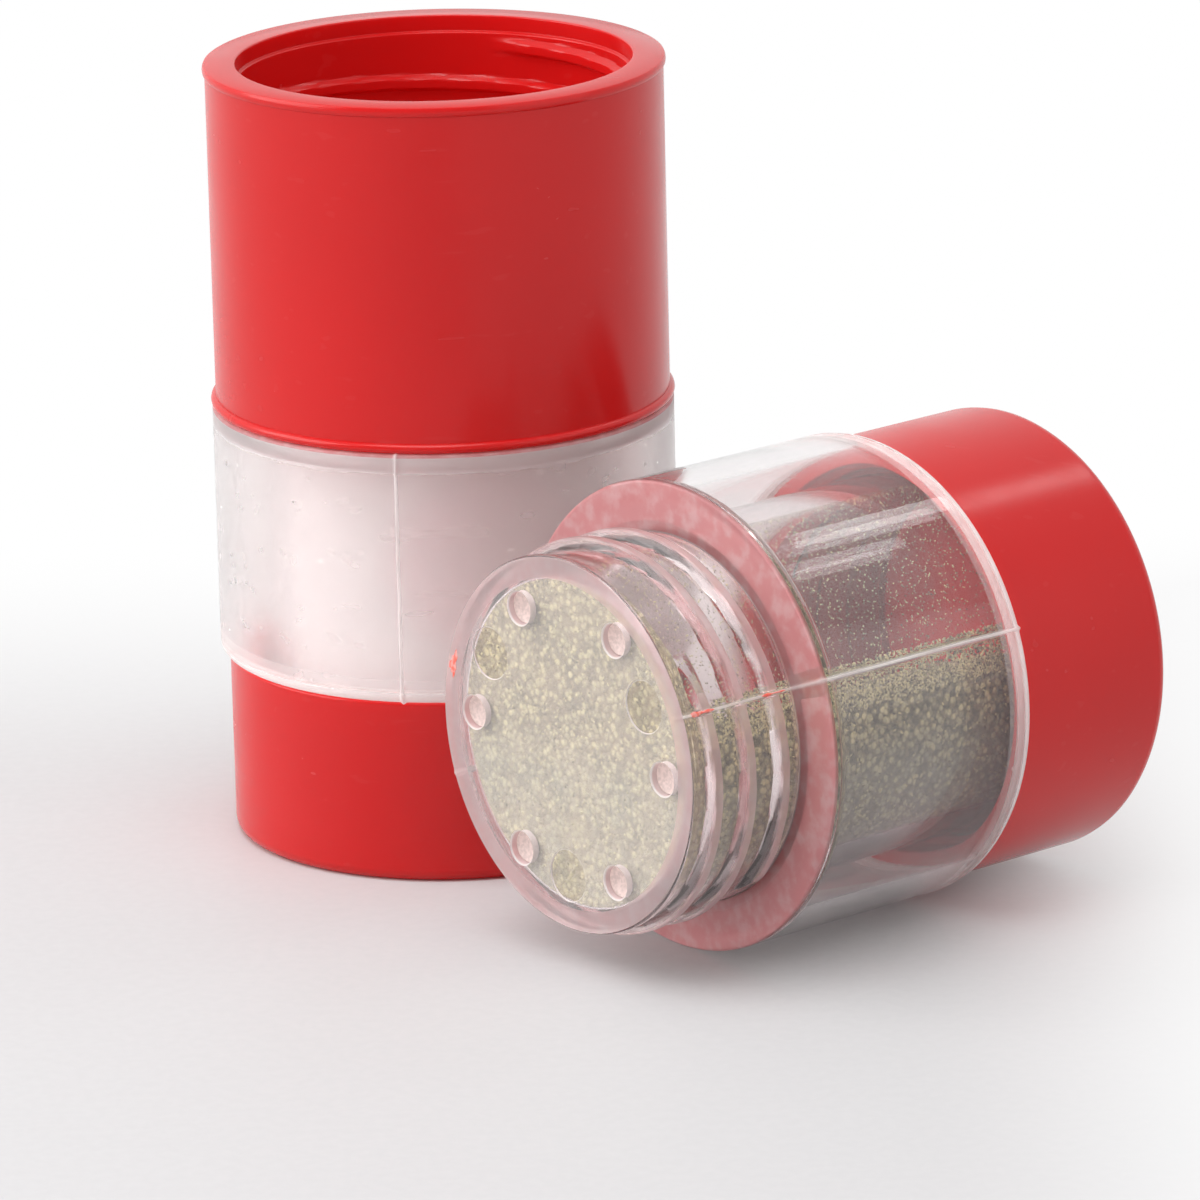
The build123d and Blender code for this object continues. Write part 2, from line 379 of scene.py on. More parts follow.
def perforate_tree():
    """Cuts a ring of round holes with chamfered mouths, or of shallow round marks."""
    inputs = {
        "Count": 6,
        "Circle": 12 * MM,
        "Hole Radius": 1.4 * MM,
        "Chamfer": 0.12 * MM,
        "Turn": 0.0,
        "Face": 0.0,
        "Bottom": 0.0,
    }
    nodes, given, end = geometry_group("Hole ring", inputs)
    over = nodes.plus(given["Face"], 0.1 * MM)
    straight = {
        "Vertices": HOLE_SIDES,
        "Radius": given["Hole Radius"],
        "Depth": nodes.less(over, given["Bottom"]),
    }
    middle = nodes.times(nodes.plus(over, given["Bottom"]), 0.5)
    reach = nodes.times(given["Chamfer"], 1.5)
    flared = {
        "Vertices": HOLE_SIDES,
        "Radius Top": nodes.math("MULTIPLY_ADD", given["Chamfer"], 2.5, given["Hole Radius"]),
        "Radius Bottom": nodes.math("MULTIPLY_ADD", given["Chamfer"], -0.5, given["Hole Radius"]),
        "Depth": nodes.times(reach, 2.0),
    }
    body = given["Geometry"]
    for kind, form, height in (
        ("GeometryNodeMeshCylinder", straight, middle),
        ("GeometryNodeMeshCone", flared, nodes.less(given["Face"], reach)),
    ):
        ring = set_around(nodes, given, nodes.get(kind, form), height)
        drills = nodes.get("GeometryNodeRealizeInstances", {0: ring})
        cut = {0: body, 1: drills}
        body = nodes.get("GeometryNodeMeshBoolean", cut, operation="DIFFERENCE", solver="MANIFOLD")
    finish_tree(nodes, body, given, end)


def ring_tree():
    """Repeats a small piece around a circle."""
    nodes, given, end = geometry_group("Ring of pieces", {"Count": 6, "Circle": 12 * MM, "Turn": 0.0})
    finish_tree(nodes, set_around(nodes, given, given["Geometry"]), given, end)


def flake_tree():
    """Strews flat irregular flakes over a surface, with a tone for each."""
    inputs = {"Density": 1e6, "Length": 0.4 * MM, "Flatness": 0.3, "Width": 1.0, "Seed": 0}
    nodes, given, end = geometry_group("Strewn flakes", inputs)

    def vary(seed, low, high):
        values = {0: low, 1: high, "Seed": seed}
        return nodes.get("FunctionNodeRandomValue", values, data_type="FLOAT_VECTOR")

    spread = {"Mesh": given["Geometry"], "Density": given["Density"], "Seed": given["Seed"]}
    strewn = nodes.add("GeometryNodeDistributePointsOnFaces", spread).outputs
    ball = nodes.get("GeometryNodeMeshIcoSphere", {"Radius": 0.5, "Subdivisions": 1})
    rough = vary(7, (-0.14, -0.14, -0.14), (0.14, 0.14, 0.14))
    chip = nodes.get("GeometryNodeSetPosition", {"Geometry": ball, "Offset": rough})
    spin = vary(given["Seed"], (-0.35, -0.35, 0.0), (0.35, 0.35, 2 * pi))
    turned = {0: strewn["Rotation"], 1: spin}
    shape = vary(nodes.plus(given["Seed"], 11), (0.55, 0.25, 0.8), (1.3, 0.62, 1.2))
    scale = nodes.vector("SCALE", shape, given["Length"])
    flakes = {
        "Points": strewn["Points"],
        "Instance": chip,
        "Rotation": nodes.get("FunctionNodeRotateRotation", turned, rotation_space="LOCAL"),
        "Scale": nodes.vector("MULTIPLY", scale, nodes.join(1.0, given["Width"], given["Flatness"])),
    }
    put = nodes.get("GeometryNodeInstanceOnPoints", flakes)
    tone = nodes.add("FunctionNodeRandomValue", {"Seed": 23}, data_type="FLOAT").outputs[1]
    marked = {"Geometry": put, "Name": "tone", "Value": tone}
    marked = nodes.get("GeometryNodeStoreNamedAttribute", marked, data_type="FLOAT", domain="INSTANCE")
    finish_tree(nodes, marked, given, end)


def run_tree(piece, tree, material, **values):
    """Puts a geometry tree on a piece; a value's underscores stand for the spaces of its socket."""
    values["material"] = MATERIALS[material]
    modifier = piece.modifiers.new(tree, "NODES")
    modifier.node_group = bpy.data.node_groups[tree]
    for item in modifier.node_group.interface.items_tree:
        key = item.name.replace(" ", "_").lower()
        if item.in_out == "INPUT" and key in values:
            modifier[item.identifier] = values[key]


def settle(piece):
    """Turns a piece's modifiers into its plain mesh."""
    graph = bpy.context.evaluated_depsgraph_get()
    mesh = bpy.data.meshes.new_from_object(piece.evaluated_get(graph))
    piece.modifiers.clear()
    piece.data = mesh
    mesh.name = piece.name
    return piece


# -------------------- mesh helpers
GUARD = 0.06 * MM
ARC_STEPS = 4

# degrees either side of a parting line
PARTING_ANGLES = (-1.4, -1.0, -0.75, -0.5, -0.25, 0.0, 0.25, 0.5, 0.75, 1.0, 1.4)
PARTING_GAP = 1.6


class Corner:
    """A corner of a section: its place and softening, and the steps and flash of the run that leaves it."""

    def __init__(self, radius, height, soft=0.0, step=0.0, flash=0.0):
        self.point = Vector((radius, height))
        self.soft = soft
        self.step = step
        self.flash = flash


def soften(before, at, after):
    """The points of one corner: an arc with a guard point at each end, or the corner itself."""
    if at.soft <= 0:
        return [at.point]
    back = (before.point - at.point).normalized()
    ahead = (after.point - at.point).normalized()
    bend = back.angle(ahead)
    sweep = pi - bend
    cut = at.soft / np.tan(bend / 2)
    centre = at.point + (back + ahead).normalized() * (at.soft / sin(bend / 2))
    start = at.point + back * cut
    stop = at.point + ahead * cut
    arc = [start + back * GUARD]
    for step in range(ARC_STEPS + 1):
        share = step / ARC_STEPS
        chord = (start - centre) * sin((1 - share) * sweep) + (stop - centre) * sin(share * sweep)
        arc.append(centre + chord / sin(sweep))
    return [*arc, stop + ahead * GUARD]


def section(corners):
    """Rows of radius, height and flash along a section, with soft corners and evenly divided runs."""
    arcs = [soften(*three) for three in zip(corners, corners[1:], corners[2:])]
    arcs = [[corners[0].point], *arcs, [corners[-1].point]]
    rows = []
    for at, arc, following in zip(corners, arcs, arcs[1:] + [None]):
        rows += [(*point, at.flash) for point in arc]
        if at.step:
            parts = max(1, round((following[0] - arc[-1]).length / at.step))
            rows += [(*arc[-1].lerp(following[0], part / parts), at.flash) for part in range(1, parts)]
    return np.array(rows)


def around(columns):
    """Angles of a lathe's columns, finer at the two parting lines."""
    even = np.linspace(-pi, pi, columns, endpoint=False)
    fine = np.radians(PARTING_ANGLES)
    clear = np.abs(np.sin(even)) > np.sin(radians(PARTING_GAP))
    return np.unique(np.concatenate([even[clear], fine, pi + fine[:5], -pi + fine[5:]]))


def turned_points(reach, angle, height):
    """Points at this reach, angle and height about the axis."""
    return np.stack([reach * np.cos(angle), reach * np.sin(angle), height + 0 * angle], axis=-1)


def show(name, data):
    """Puts a new object into the scene."""
    piece = bpy.data.objects.new(name, data)
    bpy.context.scene.collection.objects.link(piece)
    return piece


def mesh_piece(name, places, faces):
    mesh = bpy.data.meshes.new(name)
    mesh.from_pydata(places, [], faces)
    mesh.validate()
    return show(name, mesh)


def skin(name, rings, first, last):
    """A closed mesh over rings of points, shut by a point at each end, its faces outward."""
    rows, columns = rings.shape[:2]
    grid = np.arange(rows * columns).reshape(rows, columns)
    right = np.roll(grid, -1, axis=1)
    quads = np.stack([grid[:-1], right[:-1], right[1:], grid[1:]], axis=-1).reshape(-1, 4)
    start = rows * columns
    heads = np.stack([np.full(columns, start), right[0], grid[0]], axis=-1)
    tails = np.stack([np.full(columns, start + 1), grid[-1], right[-1]], axis=-1)
    places = np.concatenate([rings.reshape(-1, 3), [first, last]])
    faces = quads.tolist() + heads.tolist() + tails.tolist()
    a, b, c, d = places[quads].transpose(1, 0, 2)
    if np.einsum("ij,ij->", a, np.cross(b, c) + np.cross(c, d)) < 0:
        faces = [face[::-1] for face in faces]
    return mesh_piece(name, places.tolist(), faces)


def lathe(name, corners, columns=240, flash_height=0.0, flash_width=1.0):
    """Turns a section, from axis to axis, into a closed mesh with ragged flash at both parting lines."""
    points = section([Corner(*corner) for corner in corners])
    flat = points[:, :2]
    along = np.gradient(flat, axis=0)
    along /= np.maximum(np.linalg.norm(along, axis=1, keepdims=True), 1e-12)
    outward = np.stack([-along[:, 1], along[:, 0]], axis=1)
    if np.sum(outward[:, 0] * flat[:, 0] * points[:, 2]) < 0:
        outward = -outward
    angles = around(columns)
    inner = slice(1, -1)
    radius, height, flash = points[inner].T
    travel = height + radius
    wander = 0.35 * flash_width * (np.sin(travel / (1.9 * MM)) + 0.6 * np.sin(travel / (0.7 * MM) + 2))
    ragged = 1 + 0.3 * np.sin(travel / (1.1 * MM)) + 0.2 * np.sin(travel / (0.43 * MM) + 1)
    gap = np.minimum(np.abs(angles), np.abs(np.abs(angles) - pi))
    side = np.sign(np.sin(angles))
    across = gap * np.maximum(radius, MM)[:, None] * side + wander[:, None]
    lift = flash_height * (flash * ragged)[:, None] * np.exp(-((across / flash_width) ** 2))
    r = radius[:, None] + lift * outward[inner, 0][:, None]
    z = height[:, None] + lift * outward[inner, 1][:, None]
    return skin(name, turned_points(r, angles, z), (0, 0, points[0, 1]), (0, 0, points[-1, 1]))


def place(piece, matrix):
    piece.data.transform(matrix)
    piece.data.update()


def dress(piece, material, body, nodes=(), sharp=32):
    """Smooths a finished piece, paints it and hangs it on its body."""
    mesh = piece.data
    mesh.materials.clear()
    mesh.materials.append(MATERIALS[material])
    mesh.polygons.foreach_set("material_index", np.zeros(len(mesh.polygons), np.int32))
    mesh.shade_smooth()
    if sharp:
        mesh.set_sharp_from_angle(angle=radians(sharp))
    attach(piece, body)
    if nodes:
        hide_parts(*nodes)


def standing_place():
    return Matrix.Rotation(sizes().standing_turn, 4, "Z")


def lying_place():
    """Puts a half's own frame, foot at zero and neck up, onto the table."""
    angle = sizes().lying_turn
    seam = LYING_SIDE * cos(angle) + Vector((0, 0, 1)) * sin(angle)
    across = (-LYING_AXIS).cross(seam)
    turned = Matrix((seam, across, -LYING_AXIS)).transposed()
    return Matrix.Translation(LYING_FOOT) @ turned.to_4x4()


# -------------------- materials
MATERIALS = {}
WHITE = (1, 1, 1, 1)
# middle of the painted pink bounce light on the salt
PAINTED_BOUNCE_SPOT = (4.5 * MM, -13 * MM, 27 * MM)

# name, least light lost, share of light let in
WORN_PLASTICS = (
    ("hazy", 0.04, 0.93),
    ("rubbed", 0.12, 0.82),
    ("cloudy", 0.25, 0.66),
    ("milky", 0.4, 0.42),
)


class Paint(Nodes):
    """One new material, laid over its piece's own coordinates."""

    def __init__(self, name):
        self.made = bpy.data.materials.new(name)
        self.made.use_nodes = True
        super().__init__(self.made.node_tree)
        self.tree.nodes.clear()
        self.shader = self.add("ShaderNodeBsdfPrincipled")
        self.end = self.add("ShaderNodeOutputMaterial", {0: self.shader.outputs[0]})
        self.where = self.add("ShaderNodeTexCoord").outputs["Object"]

    def group(self, name, **inputs):
        inputs["Vector"] = self.where
        return self.add("ShaderNodeGroup", inputs, node_tree=bpy.data.node_groups[name]).outputs

    def coat(self, inputs, bump=None, passing=None):
        """Sets the shader: bump is a height, a strength and a distance; passing tints the lamps' light."""
        for key, value in inputs.items():
            self.put(self.shader.inputs[key], value)
        if bump:
            bump = dict(zip(("Height", "Strength", "Distance"), bump))
            self.put(self.shader.inputs["Normal"], self.get("ShaderNodeBump", bump))
        if passing:
            shadow = self.add("ShaderNodeLightPath").outputs["Is Shadow Ray"]
            open_wall = self.add("ShaderNodeBsdfTransparent", {0: passing})
            self.put(self.end.inputs[0], self.blend(shadow, self.shader, open_wall))
        return self.made


def shade(name, share=1.0):
    """A named colour, or this share of it."""
    return (*(share * part for part in getattr(bpy.context.scene.shaker_colours, name)), 1.0)


def grain_group():
    """Fine moulded grain: a height, and a patchy mask for gloss and tone."""
    inputs = {"Vector": "NodeSocketVector", "Grain": 3000.0, "Patch": 120.0}
    outputs = {"Height": SOCKETS[float], "Patches": SOCKETS[float]}
    nodes, given, end = group("ShaderNodeTree", "Moulded grain", inputs, outputs)
    broad = nodes.noise(given["Patch"], 4.0, given["Vector"])
    nodes.put(end.inputs["Height"], nodes.noise(given["Grain"], 3.0, given["Vector"]))
    nodes.put(end.inputs["Patches"], nodes.ramp(broad, 0.35, 0.68))


def scuff_group():
    """Short soft scuffs in two directions, as a mask."""
    inputs = {"Vector": "NodeSocketVector", "Scale": 900.0, "Amount": 0.5}
    nodes, given, end = group("ShaderNodeTree", "Scuffs", inputs, {"Mask": SOCKETS[float]})
    lines = []
    for turned in ((0.3, 0.1, 0.5), (1.4, 0.6, 2.1)):
        laid = {"Vector": given["Vector"], "Rotation": turned, "Scale": (0.07, 1.0, 1.0)}
        noise = nodes.noise(given["Scale"], 1.0, nodes.get("ShaderNodeMapping", laid))
        lines.append(nodes.ramp(noise, 0.7, 0.76))
    nodes.put(end.inputs[0], nodes.times(nodes.most(*lines), given["Amount"]))


def red_plastic():
    """Glossy red moulded plastic, a little translucent, with faint flow marks and light scuffs."""
    paint = Paint("red plastic")
    grain = paint.group("Moulded grain", Grain=2600.0, Patch=90.0)
    scuffs = paint.group("Scuffs", Scale=900.0, Amount=0.12)[0]
    flow = paint.ramp(paint.noise(32.0, 2.0), 0.25, 0.8)
    base = paint.mix(flow, shade("red"), shade("red", 0.9))
    inputs = {
        "Base Color": paint.mix(paint.times(scuffs, 0.3), base, shade("rim")),
        "Roughness": paint.plus(paint.spread(grain["Patches"], 0.19, 0.27), paint.times(scuffs, 0.2)),
        "IOR": 1.49,
        "Specular IOR Level": 0.34,
        "Subsurface Weight": 0.3,
        "Subsurface Radius": (1.0, 0.14, 0.1),
        "Subsurface Scale": 2.5 * MM,
    }
    return paint.coat(inputs, (grain["Height"], 0.06, 0.05 * MM), passing=(0.5, 0.05, 0.04, 1.0))


def clear_plastic(name, passes):
    """Clear moulded plastic that lets this share of light in; worn places are frosted or milky, and pink
    places are partly rub and partly painted red light from the red parts seen through it.
    """
    paint = Paint(name)
    grain = paint.group("Moulded grain", Grain=1500.0, Patch=160.0)
    scuffs = paint.group("Scuffs", Scale=700.0, Amount=0.5)[0]
    wear = paint.add("ShaderNodeAttribute", attribute_name="wear").outputs["Color"]
    rub, frost, milk = paint.add("ShaderNodeSeparateColor", {0: wear}).outputs
    brushed = paint.noise(700.0, 4.0)
    rub = paint.times(rub, paint.ramp(brushed, 0.3, 0.6, 0.75, 1.0))
    milk = paint.times(milk, paint.ramp(brushed, 0.3, 0.6, 0.8, 1.0))
    base = paint.mix(grain["Patches"], shade("clear"), shade("clear", 0.97))
    base = paint.mix(milk, base, shade("milk"))
    rough = paint.spread(grain["Patches"], 0.015, 0.045)
    # the pink mixed in here is partly rub and partly painted red light from the red parts
    inputs = {
        "Base Color": paint.mix(rub, base, shade("rubbed")),
        "Roughness": paint.plus(rough, paint.times(scuffs, 0.15), paint.times(frost, 0.45)),
        "IOR": 1.36,
        "Transmission Weight": passes,
    }
    return paint.coat(inputs, (grain["Height"], 0.05, 0.03 * MM), passing=(0.97, 0.96, 0.96, 1.0))


def salt_material():
    """Packed fine salt: pale grains with soft light in them, and painted pink bounce light from the red
    parts on one side.
    """
    paint = Paint("salt")
    distance, tone, _ = paint.cells(3200.0)
    patch = paint.noise(70.0, 2.0)
    grey = shade("salt", 0.86)
    base = paint.mix(paint.times(tone, 0.5), shade("salt"), grey)
    base = paint.mix(paint.ramp(patch, 0.5, 0.75, 0.0, 0.4), base, grey)
    # painted red bounce light: a soft pink patch around a fixed spot in the salt's own coordinates
    away = paint.vector("LENGTH", paint.vector("SUBTRACT", paint.where, PAINTED_BOUNCE_SPOT))
    near = paint.ramp(away, 6 * MM, 11 * MM, 0.85, 0.0)
    painted_red_bounce = paint.times(near, paint.ramp(patch, 0.2, 0.6, 0.75, 1.0))
    inputs = {
        "Base Color": paint.mix(painted_red_bounce, base, shade("painted_red_bounce")),
        "Roughness": paint.spread(tone, 0.45, 0.75),
        "Subsurface Weight": 0.7,
        "Subsurface Radius": (1.0, 0.95, 0.95),
        "Subsurface Scale": 5 * MM,
    }
    return paint.coat(inputs, (distance, 0.35, 0.1 * MM))


def pepper_ramp(paint, value):
    """Pepper's tones, from dark skin to light husk."""
    ramp = paint.add("ShaderNodeValToRGB", {0: value})
    stops = ramp.color_ramp.elements
    stops[0].color = shade("pepper_dark")
    stops[1].color = shade("pepper_light")
    stops[1].position = 0.86
    stops.new(0.4).color = shade("pepper_mid")
    return ramp.outputs[0]


def front_share(paint):
    """How much pale powder the pepper has where it lies against the sifter plate."""
    along = paint.vector("DOT_PRODUCT", paint.vector("SUBTRACT", paint.where, LYING_FACE), LYING_AXIS)
    near = paint.ramp(along, 1.6 * MM, 3.2 * MM, 0.48, 0.0)
    return paint.times(near, paint.ramp(paint.noise(300.0, 3.0), 0.3, 0.65, 0.5, 1.0))


def powder_share(paint):
    """How much grey powder dusts the pepper: more of it low in the lying half, in patches."""
    height = paint.split(paint.where)[2]
    low = paint.ramp(height, SHELL_RADIUS + 1.5 * MM, SHELL_RADIUS - 4 * MM, 0.0, 0.45)
    return paint.times(low, paint.ramp(paint.noise(420.0, 3.0), 0.3, 0.65, 0.55, 1.0))


def pepper_material():
    """Packed ground pepper: stretched cells of husk, skin and powder."""
    paint = Paint("pepper")
    laid = {"Vector": paint.where, "Scale": (1.0, 0.62, 0.8), "Rotation": (0.4, 0.3, 0.7)}
    coarse, tone, _ = paint.cells(2300.0, paint.get("ShaderNodeMapping", laid))
    fine, _, speck = paint.cells(5000.0)
    base = pepper_ramp(paint, paint.plus(paint.times(tone, 0.75), paint.times(speck, 0.25)))
    base = paint.mix(paint.ramp(coarse, 0.3, 0.7, 0.0, 0.7), base, shade("pepper_dark"))
    base = paint.mix(powder_share(paint), base, shade("pepper_powder"))
    height = paint.less(1.0, paint.plus(coarse, paint.times(fine, 0.4)))
    base = paint.mix(front_share(paint), base, shade("pepper_front"))
    inputs = {"Base Color": base, "Roughness": paint.spread(speck, 0.6, 0.9)}
    return paint.coat(inputs, (height, 0.8, 0.2 * MM))


def flake_material():
    """Loose pepper flakes, each of one tone with a mottled face."""
    paint = Paint("pepper flakes")
    tone = paint.add("ShaderNodeAttribute", attribute_name="tone").outputs["Fac"]
    mottle = paint.noise(6000.0, 2.0)
    base = pepper_ramp(paint, paint.plus(tone, paint.times(paint.less(mottle, 0.5), 0.3)))
    base = paint.mix(paint.times(powder_share(paint), 0.6), base, shade("pepper_powder"))
    base = paint.mix(paint.times(front_share(paint), 0.7), base, shade("pepper_front"))
    inputs = {"Base Color": base, "Roughness": paint.ramp(mottle, 0.3, 0.7, 0.55, 0.85)}
    return paint.coat(inputs, (mottle, 0.3, 0.03 * MM))


def clog_material():
    """Pale powder packed in the sifter holes, its pink tint a painted red reflection of the red parts."""
    paint = Paint("clogged powder")
    fine = paint.noise(3500.0, 3.0)
    base = paint.mix(paint.ramp(fine, 0.35, 0.65), shade("clog"), shade("clog", 0.8))
    inputs = {"Base Color": base, "Roughness": paint.ramp(fine, 0.3, 0.7, 0.35, 0.6)}
    return paint.coat(inputs, (fine, 0.3, 0.05 * MM))


def seal_material():
    """Soft red sealing sheet, dull and slightly porous."""
    paint = Paint("seal")
    grain = paint.group("Moulded grain", Grain=1800.0, Patch=200.0)
    base = paint.mix(grain["Patches"], shade("seal"), shade("seal", 0.8))
    inputs = {"Base Color": base, "Roughness": paint.spread(grain["Patches"], 0.5, 0.65)}
    return paint.coat(inputs, (grain["Height"], 0.3, 0.1 * MM))


def smear_material():
    """Red rubbed off a socket onto the clear neck."""
    paint = Paint("smear")
    patchy = paint.noise(2500.0, 3.0)
    pale = paint.mix(0.35, shade("smear"), (0.9, 0.75, 0.72, 1.0))
    base = paint.mix(paint.ramp(patchy, 0.45, 0.6), shade("smear"), pale)
    return paint.coat({"Base Color": base, "Roughness": paint.ramp(patchy, 0.3, 0.7, 0.45, 0.7)})


def prepare_materials():
    """Makes the geometry trees, the node groups and the materials."""
    for make in (thread_tree, perforate_tree, ring_tree, flake_tree, grain_group, scuff_group):
        make()
    for name, _, passes in WORN_PLASTICS:
        MATERIALS[name] = clear_plastic(name + " plastic", passes)
    MATERIALS.update(
        red=red_plastic(),
        clear=clear_plastic("clear plastic", 0.985),
        salt=salt_material(),
        pepper=pepper_material(),
        flakes=flake_material(),
        clog=clog_material(),
        seal=seal_material(),
        smear=smear_material(),
    )


# -------------------- the pieces
NECK_THREAD_START = FLANGE_FACE + 1.7 * MM
NECK_THREAD_END = NECK_FACE - 1.85 * MM
NECK_THREAD_ANGLE = radians(283.2)
REAR_THREAD_START = TUBE_END + 1.5 * MM
REAR_THREAD_END = REAR_FACE - 2.4 * MM
REAR_THREAD_ANGLE = radians(60)
CAP_THREAD_START = TUBE_END + 1.2 * MM
CAP_THREAD_END = REAR_FACE - 1.1 * MM
THREAD_STEP = 0.14 * MM
BEAD_STEPS = 6
UPPER_BEAD_SHARE = 0.5


def ridge(piece, material, form, start, end, angle):
    """A thread ridge; its form is its wall's radius, its way out or in, its height, root and crest."""
    form = dict(zip(("wall_radius", "way", "height", "root_width", "crest_width"), form))
    run = {"pitch": sizes().pitch, "start": start, "end": end, "start_angle": angle}
    run_tree(piece, "Screw thread", material, **form, **run)


def neck_ridge(piece, start, end, angle):
    size = sizes()
    form = (size.tube_radius, 1.0, size.ridge_height, size.ridge_root, size.ridge_crest)
    ridge(piece, "clear", form, start, end, angle)


def socket_ridge(piece, start, end, angle):
    size = sizes()
    form = (size.socket_radius, -1.0, size.socket_ridge, size.socket_root, size.socket_crest)
    ridge(piece, "red", form, start, end, angle)


def mate_angle(start, neck_start, neck_angle):
    """Where a socket's ridge starts, so that it fills the groove of the neck's thread."""
    turns = (start - sizes().pitch / 2 - neck_start) / sizes().pitch
    return neck_angle + 2 * pi * turns


def clear_half(name, haze):
    """Shell, flange, tube, threaded neck and sifter plate in one clear moulding."""
    size = sizes()
    inner_shell = SHELL_RADIUS - size.shell_wall
    under_flange = FLANGE_FACE - size.flange
    under_plate = NECK_FACE - size.plate
    under_land = NECK_FACE - size.land_length
    slope = 0.2 * MM
    small = 0.12 * MM
    # radius, height, softening, and the step and flash of the run that follows
    corners = [
        (0, NECK_FACE),
        (size.bore_radius, NECK_FACE),
        (size.land_radius, NECK_FACE, 0.25 * MM, 0.15 * MM, 0.5),
        (size.land_radius, under_land, 0.1 * MM, 0, 0.5),
        (size.tube_radius, under_land - slope, 0.1 * MM, THREAD_STEP, 0.6),
        (size.tube_radius, FLANGE_FACE, small, 0.4 * MM, 0.4),
        (SHELL_RADIUS, FLANGE_FACE, size.shell_front_round, 0.7 * MM, 1.0),
        (SHELL_RADIUS, REAR_FACE, size.shell_rear_round, 0, 1.0),
        (inner_shell, REAR_FACE, small, 0.8 * MM),
        (inner_shell, under_flange, 0.3 * MM),
        (size.tube_radius, under_flange, 0.3 * MM, 5 * THREAD_STEP),
        (size.tube_radius, TUBE_END, small),
        (size.bore_radius, TUBE_END, small, 1.5 * MM),
        (size.bore_radius, under_plate, 0.3 * MM),
        (0, under_plate),
    ]
    piece = lathe(name, corners, 200, size.flash_height, size.flash_width)
    neck_ridge(piece, NECK_THREAD_START, NECK_THREAD_END, NECK_THREAD_ANGLE)
    neck_ridge(piece, REAR_THREAD_START, REAR_THREAD_END, REAR_THREAD_ANGLE)
    below = under_plate - 0.5 * MM
    mark_floor = NECK_FACE - size.mark_depth
    for count, circle, radius, turn, chamfer, bottom in (
        (size.holes, size.hole_circle, size.hole_radius, size.hole_turn, 0.12 * MM, below),
        (size.marks, size.mark_circle, size.mark_radius, size.mark_turn, 0.06 * MM, mark_floor),
    ):
        ring = {"count": count, "circle": circle, "hole_radius": radius, "turn": turn}
        run_tree(piece, "Hole ring", "clear", chamfer=chamfer, face=NECK_FACE, bottom=bottom, **ring)
    settle(piece)
    mark_wear(piece, haze)
    return piece


def field(items, name, width=1, kind=np.int32):
    """One field of many mesh items: a row of numbers for each part of it."""
    values = np.empty(len(items) * width, kind)
    items.foreach_get(name, values)
    return values.reshape(-1, width).T


def most(*masks):
    """The greatest of several masks, corner by corner."""
    return np.maximum.reduce([1.0 * mask for mask in masks])


def mark_wear(piece, haze):
    """Marks wear as a colour: red for pink, which is partly rub and partly painted red light from the red
    parts, green for frost, blue for milky places.

    The haze clouds all the walls.
    """
    size = sizes()
    mesh = piece.data
    corner = field(mesh.loops, "vertex_index")[0]
    x, y, z = field(mesh.vertices, "co", 3, float)[:, corner]
    reach = np.hypot(x, y)
    on_tube = reach > size.tube_radius - 0.1 * MM
    flange = (np.abs(z - FLANGE_FACE) < 0.35 * MM) & (reach > size.tube_radius + 0.1 * MM)
    neck = (z > FLANGE_FACE - 0.1 * MM) & on_tube
    ridge_share = np.clip((reach - size.tube_radius) / size.ridge_height, 0, 1) * neck
    outside = neck | (reach > SHELL_RADIUS - 0.3 * MM)
    seam = outside * np.exp(-((y / size.flash_width) ** 2))
    root = neck * np.exp(-np.maximum(z - FLANGE_FACE, 0) / (0.5 * MM))
    # painted highlight: the shell's rear edge is made milky and frosted so that it shows as a bright white
    # ring
    painted_rear_ring = (reach > SHELL_RADIUS - 2 * MM) * np.clip(1.6 - (z - REAR_FACE) / MM, 0, 1)
    wall = haze * on_tube * (z < FLANGE_FACE + 0.1 * MM)
    shoulder = wall * np.exp(-(((FLANGE_FACE - z) / (2.5 * MM)) ** 2))
    # painted red light: the rear thread inside the cap is made pink, for the lit red inside of the cap seen
    # through the wall
    painted_cap_red = (reach > size.bore_radius - 0.2 * MM) & (reach < size.tube_radius + 1.2 * size.ridge_height)
    painted_cap_red = painted_cap_red * np.clip((REAR_THREAD_END - z) / MM, 0, 1)
    # pink mask: partly rub from the sockets, partly painted red light on the flange, ridges, holes and
    # inside the cap
    rub = most(flange, 0.12 * neck, 0.55 * ridge_share, 0.6 * root, 0.9 * painted_cap_red) * (1 - 0.7 * seam)
    frost = most(flange, 0.25 * neck, 0.7 * ridge_share, 0.8 * seam, 0.7 * root, 0.8 * painted_rear_ring)
    frost = most(frost, 0.45 * wall, 0.9 * shoulder)
    milk = most(0.12 * neck, 0.3 * ridge_share, 0.8 * seam, 0.9 * painted_rear_ring, 0.3 * wall, 0.6 * shoulder)

    counts = field(mesh.polygons, "loop_total")[0]
    starts = np.concatenate([[0], np.cumsum(counts)[:-1]])
    x, y, z = (np.add.reduceat(axis, starts) / counts for axis in (x, y, z))
    up = field(mesh.polygons, "normal", 3, float)[2]
    away = np.hypot(x, y)
    at_face = z > NECK_FACE - 1.5 * size.mark_depth
    disc = at_face & (up > 0.9) & (away < size.bore_radius)
    rim = at_face & (up > 0.9) & (away > size.bore_radius)
    in_plate = z > NECK_FACE - size.plate - 0.05 * MM
    hole = in_plate & (np.abs(up) < 0.9) & (away < size.bore_radius)
    mark = hole & (z > NECK_FACE - 1.1 * size.mark_depth)
    # where, and its rub, frost and milk
    for where, *shares in (
        (disc, 0.0, 0.28, 0.2),
        (rim, 0.4, 0.8, 0.4),
        (hole, 0.35, 1.0, 0.8),
        (mark, 0.0, 0.8, 1.0),
    ):
        for values, share in zip((rub, frost, milk), shares):
            values[np.repeat(where, counts)] = share
    wear = np.stack([rub, frost, milk, 1 + 0 * rub], axis=-1).astype(np.float32)
    mesh.attributes.new("wear", "FLOAT_COLOR", "CORNER").data.foreach_set("color", wear.ravel())


